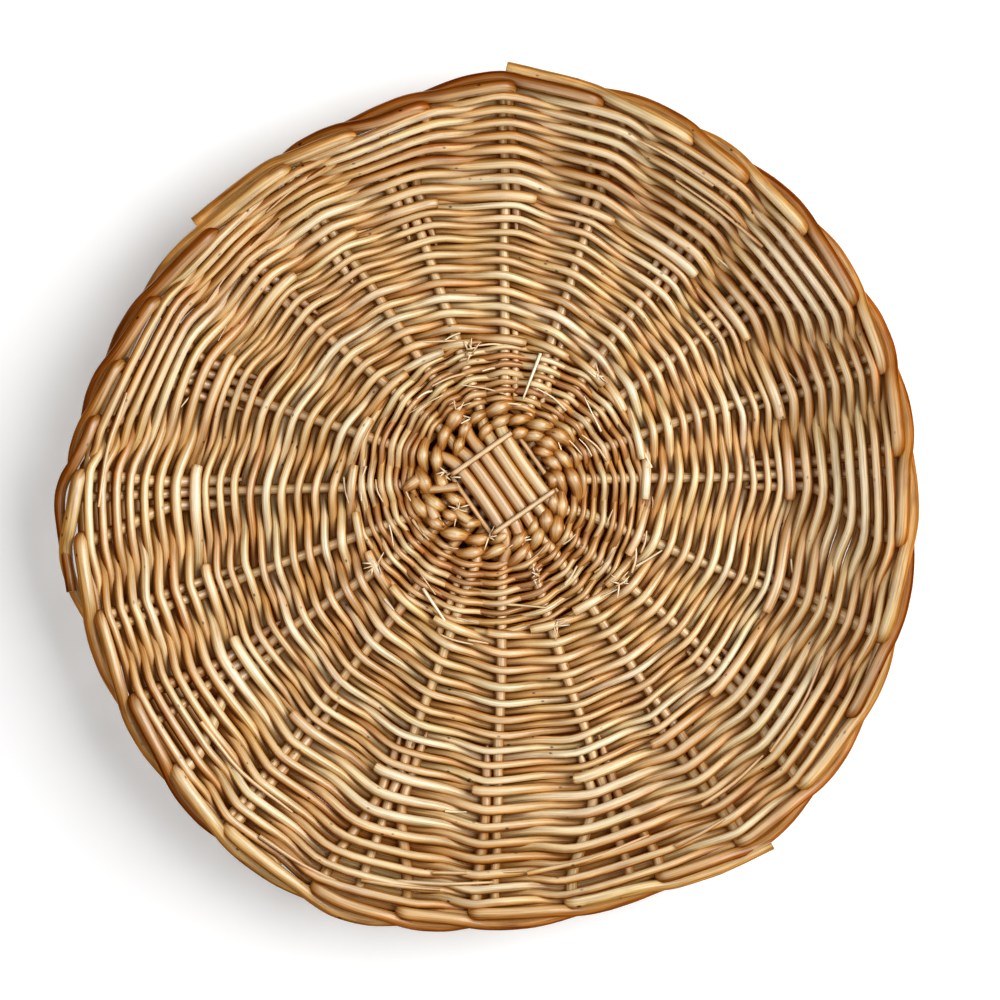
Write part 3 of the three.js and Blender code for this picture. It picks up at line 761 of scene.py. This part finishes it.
# Places along the border, counted in stakes from the kink, with how far out, how far up and how thick.
border_path = ((-0.03, -0.6, -0.6, 2.75), (0.03, -0.3, 1.8, 2.85), (0.12, -0.2, 2.8, 2.8),
               (0.3, 0, 3.2, 2.75), (0.55, 0.5, 3.0, 2.75), (0.8, 1.6, 1.6, 2.75),
               (1.05, 4.1, -1.6, 2.7), (1.3, 5.2, -2.6, 2.65))
stake_rods = []
for index, stake in enumerate(sorted(stakes, key=lambda stake: stake["kink"])):
    angle = angle_at(stake["spoke"])
    size = chance.uniform(0.9, 1.1)
    begin = chance.uniform(112, 124)
    stations = [(on_basket(begin, angle, stake["beside"]), 0.7 * size)]
    for distance, girth in ((begin + 9, 2.3),) + stake_girths:
        stations.append((on_basket(distance, angle, stake_sideways(stake, distance)), girth * size))
    bulge = chance.uniform(-0.5, 0.9)
    if 165 < math.degrees(stake["kink"]) < 205:
        bulge += chance.uniform(1.5, 3)
    stand = chance.uniform(-0.6, 0.8)
    reach = proud_ends.get(index, chance.uniform(1.95, 2.3))
    proud = 1 if index in proud_ends else 0
    border_end = ((1.65, 5.4 + proud, -3.2 + proud, 2.5),
                  (reach, 4.5 + 4 * proud, -4.4 + 4 * proud, 2.0 + 0.5 * proud))
    for share, out, rise, girth in border_path + border_end:
        swing = angle_at(index + share, kink_degrees)
        out += bulge * math.sin(math.pi * min(1, max(0, share - 0.4) / 1.6))
        rise += stand * math.sin(math.pi * min(1, max(0, share) / 1.2))
        place = on_basket(rim_row, swing)
        place += Vector((math.cos(swing), math.sin(swing), 0)) * out
        place.z += rise
        stations.append((place, girth * size))
    stake_rods.append(bent_rod(stations, steps=5, tone=chance.uniform(0.08, 0.7), seed=200 + index))
lay_rods("side_stakes", stake_rods, sides=12, half_thickness=14,
         nodes=[f"side_stake_{i:02d}" for i in range(1, 21)], painted_light_floor=0.28)

# Wall weavers: twenty more rods begun with their butts on the inside in a ring at the foot of the
# wall, and worked like those of the base up to just under the border.
wall_girths = taper(butt=2.3, tip=1.72, count=16)
wall_rows = beaten_rows(start=base_rows[-1] + 1.7, girths=wall_girths, pitch=1.825)
wall_weavers = weave_round(wall_rows, wall_girths, scales=(1.0, 1.14), loose_ends=(1.0, 1.9),
                           tones=(0.3, 0.86), seed=300)
lay_rods("wall_weavers", wall_weavers, sides=10, half_thickness=5.3,
         nodes=[f"weaver_{i:02d}" for i in range(1, 21)])

# Loose tips: splinters and thin tip ends that stick out of the hub and the fine rows, the foot of the
# wall and its top, where the maker trimmed or broke the rods off. Those at the top are long.
# For each place: how many, from and to which distance, how much they turn in or out, the lift at
# their root and what they gain, how pale they are, and whether they are long.
tip_places = ((46, 27, 72, 0.6, 2.6, 2.2, 1, False), (8, 132, 150, 0.6, 2.6, 1.6, 1, False),
              (14, 168, rim_row - 3, 0.12, 4.4, 1.0, 0.6, True))
loose = []
for count, low, high, turning, root_lift, gain, paleness, long_tips in tip_places:
    for tip in range(count):
        distance = chance.uniform(low, high)
        angle = chance.uniform(0, 2 * math.pi)
        length = chance.uniform(5, 20)
        turn = chance.gauss(0, 0.4)
        girth = chance.uniform(0.35, 0.85)
        if long_tips:
            length = chance.uniform(25, 60)
            turn = chance.uniform(-0.12, 0.12)
            girth = chance.uniform(0.8, 1.3)
        curl = chance.uniform(-0.35, 0.35)
        stations = []
        for share in (0, 0.5, 1):
            reach = distance + length * (share * math.sin(turn) + curl * share * share) * turning
            swing = angle + length * share * math.cos(turn) / distance
            lift = root_lift + gain * share + chance.uniform(-0.4, 0.6)
            stations.append((on_basket(reach, swing, 0, lift), girth * (1 - 0.5 * share)))
        tone = chance.uniform(0.4, 1.0) * paleness
        loose.append(bent_rod(stations, steps=4, tone=tone, seed=400 + len(loose)))
# Two pale straws lie across the fine rows.
straws = ((23.7, 64.7, 15.9, 44.3), (-28.8, -40.5, -18.2, -56.0))
for index, straw in enumerate(straws):
    stations = bowed_end(*straw, heights=(13, 14.2, 13.2), girths=(0.9, 0.8, 0.5))
    loose.append(bent_rod(stations, steps=4, tone=0.95, seed=470 + index))
# Frayed stubs round the hub, where rods were snapped off: each is a tuft of torn fibres.
stubs = ((-17.7, 10.8), (-12.4, -5.4), (0.2, -17.1), (15, -18), (49, 53.9), (-8.3, 65.6),
         (58.8, -38.2), (30.5, -56), (-50, -28.8), (21.8, -34.6), (-13.5, 37.4))
stub_half = 1.6
stub_height = 13.0
fibres = 8
for index, (x, y) in enumerate(stubs):
    for fibre in range(fibres):
        heading = chance.uniform(0, 2 * math.pi)
        length = chance.uniform(2.5, 7)
        root_x = x + chance.uniform(-stub_half, stub_half)
        root_y = y + chance.uniform(-stub_half, stub_half)
        root = Vector((root_x, root_y, stub_height))
        away = Vector((math.cos(heading), math.sin(heading), 0)) * length
        tip_rise = chance.uniform(0.3, 2.2)
        stations = [(root, 0.5), (root + away * 0.5 + Vector((0, 0, 1.5)), 0.45),
                    (root + away + Vector((0, 0, tip_rise)), 0.2)]
        loose.append(bent_rod(stations, steps=3, tone=chance.uniform(0.2, 0.9),
                              seed=480 + fibres * index + fibre))
lay_rods("loose_tips", loose, sides=6, half_thickness=4.0,
         nodes=["fine_pairing_01"])
